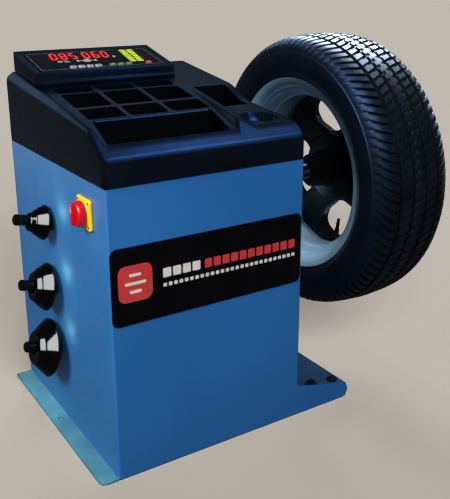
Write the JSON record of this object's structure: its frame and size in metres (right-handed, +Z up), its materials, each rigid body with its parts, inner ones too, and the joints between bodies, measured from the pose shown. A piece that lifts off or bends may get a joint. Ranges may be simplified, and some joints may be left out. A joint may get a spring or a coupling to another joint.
{
  "type": "wheel balancer",
  "caption": "Floor-standing car wheel balancer: steel cabinet, moulded weight tray with display console, cone pegs, belt-driven spindle with a clamped wheel.",
  "frame": {"origin": "centre of the cabinet's footprint, on the floor", "axes": "+X towards the wheel, -Y towards the operator's front panel, +Z up"},
  "size_m": [0.9347, 0.6292, 0.7966],
  "materials": {
    "backplate": "machined",
    "base_plate": "satin paint",
    "bearing_1": "machined",
    "bearing_2": "machined",
    "clamp_cone": "satin paint",
    "cone_1": "satin paint",
    "cone_2": "satin paint",
    "cone_3": "satin paint",
    "cone_peg_1": "satin paint",
    "cone_peg_2": "satin paint",
    "cone_peg_3": "satin paint",
    "console_housing": "fine grain",
    "control_unit": "fine grain",
    "digits_left": "gloss",
    "digits_right": "gloss",
    "display_panel": "gloss",
    "drive_belt": "matte",
    "driven_pulley": "cast and clear coated",
    "encoder_arm": "satin paint",
    "encoder_disc": "machined",
    "encoder_sensor": "fine grain",
    "foot_bolt_1": "machined",
    "foot_bolt_2": "machined",
    "force_sensor_1": "machined",
    "force_sensor_2": "machined",
    "front_panel": "satin paint",
    "key_green_1": "fine grain",
    "key_green_2": "fine grain",
    "key_green_3": "fine grain",
    "key_red": "fine grain",
    "key_white_1": "fine grain",
    "key_white_2": "fine grain",
    "key_white_3": "fine grain",
    "key_white_4": "fine grain",
    "label_plate": "fine grain",
    "left_panel": "satin paint",
    "motor": "satin paint",
    "motor_pulley": "machined",
    "motor_shaft": "machined",
    "motor_shelf": "satin paint",
    "position_bars": "gloss",
    "power_inlet": "fine grain",
    "quick_nut": "fine grain",
    "rear_cover": "satin paint",
    "rear_panel": "satin paint",
    "right_foot": "satin paint",
    "right_panel": "satin paint",
    "rim_barrel": "cast and clear coated",
    "rim_disc": "cast and clear coated",
    "spindle_housing": "as cast, painted",
    "spindle_shaft": "machined",
    "support_column": "as cast, painted",
    "switch_base": "gloss",
    "switch_knob": "gloss",
    "top_plate": "satin paint",
    "transformer": "machined",
    "tyre": "matte",
    "valve_stem": "matte",
    "weight_tray": "fine grain"
  },
  "bodies": {
    "cabinet": {"base_plate": "base_plate", "bearing_1": "bearing_1", "bearing_2": "bearing_2", "cone_peg_1": "cone_peg_1", "cone_peg_2": "cone_peg_2", "cone_peg_3": "cone_peg_3", "console_housing": "console_housing", "control_unit": "control_unit", "digits_left": "digits_left", "digits_right": "digits_right", "display_panel": "display_panel", "drive_belt": "drive_belt", "encoder_arm": "encoder_arm", "encoder_sensor": "encoder_sensor", "foot_bolt_1": "foot_bolt_1", "foot_bolt_2": "foot_bolt_2", "force_sensor_1": "force_sensor_1", "force_sensor_2": "force_sensor_2", "front_panel": "front_panel", "label_plate": "label_plate", "left_panel": "left_panel", "motor": "motor", "motor_shelf": "motor_shelf", "position_bars": "position_bars", "power_inlet": "power_inlet", "rear_cover": "rear_cover", "rear_panel": "rear_panel", "right_foot": "right_foot", "right_panel": "right_panel", "spindle_housing": "spindle_housing", "support_column": "support_column", "switch_base": "switch_base", "top_plate": "top_plate", "transformer": "transformer", "weight_tray": "weight_tray"},
    "spindle": {"spindle_shaft": "spindle_shaft", "backplate": "backplate", "driven_pulley": "driven_pulley", "encoder_disc": "encoder_disc", "rim_barrel": "rim_barrel", "rim_disc": "rim_disc", "tyre": "tyre", "valve_stem": "valve_stem"},
    "motor_rotor": {"motor_pulley": "motor_pulley", "motor_shaft": "motor_shaft"},
    "nut": {"quick_nut": "quick_nut", "clamp_cone": "clamp_cone"},
    "knob": {"switch_knob": "switch_knob"},
    "cone_1_body": {"cone_1": "cone_1"},
    "cone_2_body": {"cone_2": "cone_2"},
    "cone_3_body": {"cone_3": "cone_3"},
    "key_green_1_body": {"key_green_1": "key_green_1"},
    "key_green_2_body": {"key_green_2": "key_green_2"},
    "key_green_3_body": {"key_green_3": "key_green_3"},
    "key_red_body": {"key_red": "key_red"},
    "key_white_1_body": {"key_white_1": "key_white_1"},
    "key_white_2_body": {"key_white_2": "key_white_2"},
    "key_white_3_body": {"key_white_3": "key_white_3"},
    "key_white_4_body": {"key_white_4": "key_white_4"}
  },
  "joints": [
    {"name": "spindle_spin", "type": "hinge", "parent": "cabinet", "child": "spindle", "pos_m": [0, -0.042, 0.482], "axis": [1, 0, 0], "continuous": true},
    {"name": "motor_spin", "type": "hinge", "parent": "cabinet", "child": "motor_rotor", "pos_m": [-0.048, -0.042, 0.23], "axis": [1, 0, 0], "continuous": true},
    {"name": "nut_slide", "type": "slide", "parent": "spindle", "child": "nut", "axis": [1, 0, 0], "range_m": [0, 0.11]},
    {"name": "switch_turn", "type": "hinge", "parent": "cabinet", "child": "knob", "pos_m": [-0.2325, -0.164, 0.513], "axis": [-1, 0, 0], "range_deg": [0, 90]},
    {"name": "cone_1_slide", "type": "slide", "parent": "cabinet", "child": "cone_1_body", "axis": [-0.9781, 0, 0.2079], "range_m": [0, 0.067]},
    {"name": "cone_2_slide", "type": "slide", "parent": "cabinet", "child": "cone_2_body", "axis": [-0.9781, 0, 0.2079], "range_m": [0, 0.063]},
    {"name": "cone_3_slide", "type": "slide", "parent": "cabinet", "child": "cone_3_body", "axis": [-0.9781, 0, 0.2079], "range_m": [0, 0.059]},
    {"name": "key_green_1_press", "type": "slide", "parent": "cabinet", "child": "key_green_1_body", "axis": [0, 0, -1], "range_m": [0, 0.001], "stiffness_N_per_m": 300, "springref_m": -0.0005},
    {"name": "key_green_2_press", "type": "slide", "parent": "cabinet", "child": "key_green_2_body", "axis": [0, 0, -1], "range_m": [0, 0.001], "stiffness_N_per_m": 300, "springref_m": -0.0005},
    {"name": "key_green_3_press", "type": "slide", "parent": "cabinet", "child": "key_green_3_body", "axis": [0, 0, -1], "range_m": [0, 0.001], "stiffness_N_per_m": 300, "springref_m": -0.0005},
    {"name": "key_red_press", "type": "slide", "parent": "cabinet", "child": "key_red_body", "axis": [0, 0, -1], "range_m": [0, 0.001], "stiffness_N_per_m": 300, "springref_m": -0.0005},
    {"name": "key_white_1_press", "type": "slide", "parent": "cabinet", "child": "key_white_1_body", "axis": [0, 0, -1], "range_m": [0, 0.001], "stiffness_N_per_m": 300, "springref_m": -0.0005},
    {"name": "key_white_2_press", "type": "slide", "parent": "cabinet", "child": "key_white_2_body", "axis": [0, 0, -1], "range_m": [0, 0.001], "stiffness_N_per_m": 300, "springref_m": -0.0005},
    {"name": "key_white_3_press", "type": "slide", "parent": "cabinet", "child": "key_white_3_body", "axis": [0, 0, -1], "range_m": [0, 0.001], "stiffness_N_per_m": 300, "springref_m": -0.0005},
    {"name": "key_white_4_press", "type": "slide", "parent": "cabinet", "child": "key_white_4_body", "axis": [0, 0, -1], "range_m": [0, 0.001], "stiffness_N_per_m": 300, "springref_m": -0.0005}
  ],
  "couplings": [
    {"joint": "motor_spin", "follows": "spindle_spin", "ratio": 3.42}
  ]
}
